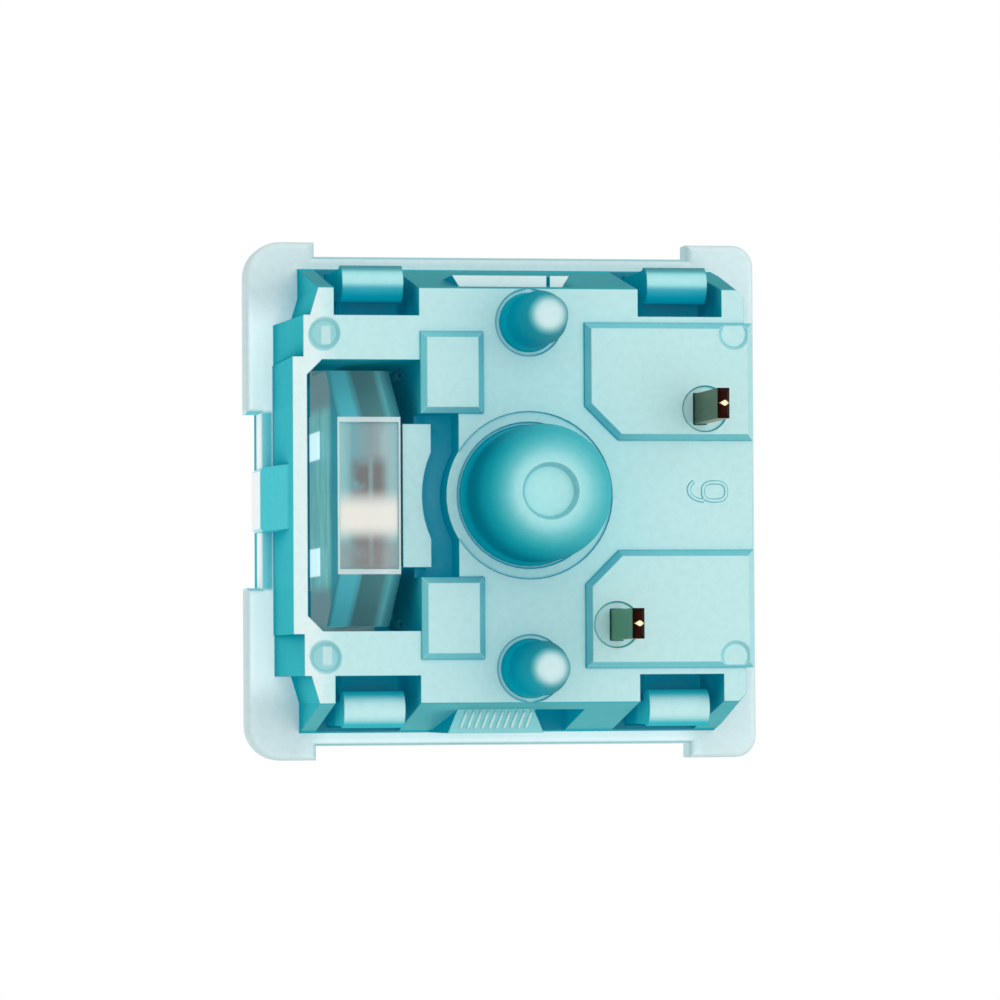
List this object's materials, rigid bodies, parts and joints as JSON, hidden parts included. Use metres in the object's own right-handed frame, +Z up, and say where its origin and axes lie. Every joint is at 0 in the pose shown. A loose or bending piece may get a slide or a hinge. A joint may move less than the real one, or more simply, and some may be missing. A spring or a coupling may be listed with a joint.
{
  "type": "mechanical keyboard switch",
  "caption": "Square plug-in keyboard switch with a cross-shaped sprung stem, a flanged moulded housing, a centre post with locating pegs, contact pins and a clear light guide.",
  "frame": {"origin": "axis of the centre post, at the face of the circuit board that the switch stands on", "axes": "+Z up along the stem, +Y towards the contact pins, -Y towards the light slot"},
  "size_m": [0.0156, 0.0156, 0.0185],
  "materials": {
    "housing_plastic": "moulded, satin, pale turquoise",
    "clear_plastic": "clear, polished",
    "stem_plastic": "moulded, smooth, off-white",
    "spring_steel": "drawn wire",
    "terminal_bronze": "stamped copper alloy",
    "leaf_bronze": "rolled copper alloy",
    "contact_gold": "gold plated"
  },
  "bodies": {
    "housing": {"bottom_housing": "housing_plastic", "top_housing": "housing_plastic", "light_guide": "clear_plastic", "fixed_terminal": "terminal_bronze", "fixed_contact_point": "contact_gold", "moving_terminal": "terminal_bronze", "spring": "spring_steel"},
    "stem": {"stem": "stem_plastic"},
    "leaf": {"contact_leaf": "leaf_bronze", "moving_contact_point": "contact_gold"}
  },
  "joints": [
    {"name": "stem_press", "type": "slide", "parent": "housing", "child": "stem", "axis": [0, 0, -1], "range_m": [0, 0.004], "stiffness_N_per_m": 75, "springref_m": -0.004, "deforming": ["spring"]},
    {"name": "leaf_flex", "type": "hinge", "parent": "housing", "child": "leaf", "pos_m": [0, 0.00485, 0.00193], "axis": [1, 0, 0], "range_deg": [0, 4.3]}
  ],
  "couplings": [
    {"joint": "leaf_flex", "follows": "stem_press", "rad_per_m": 18.75}
  ]
}
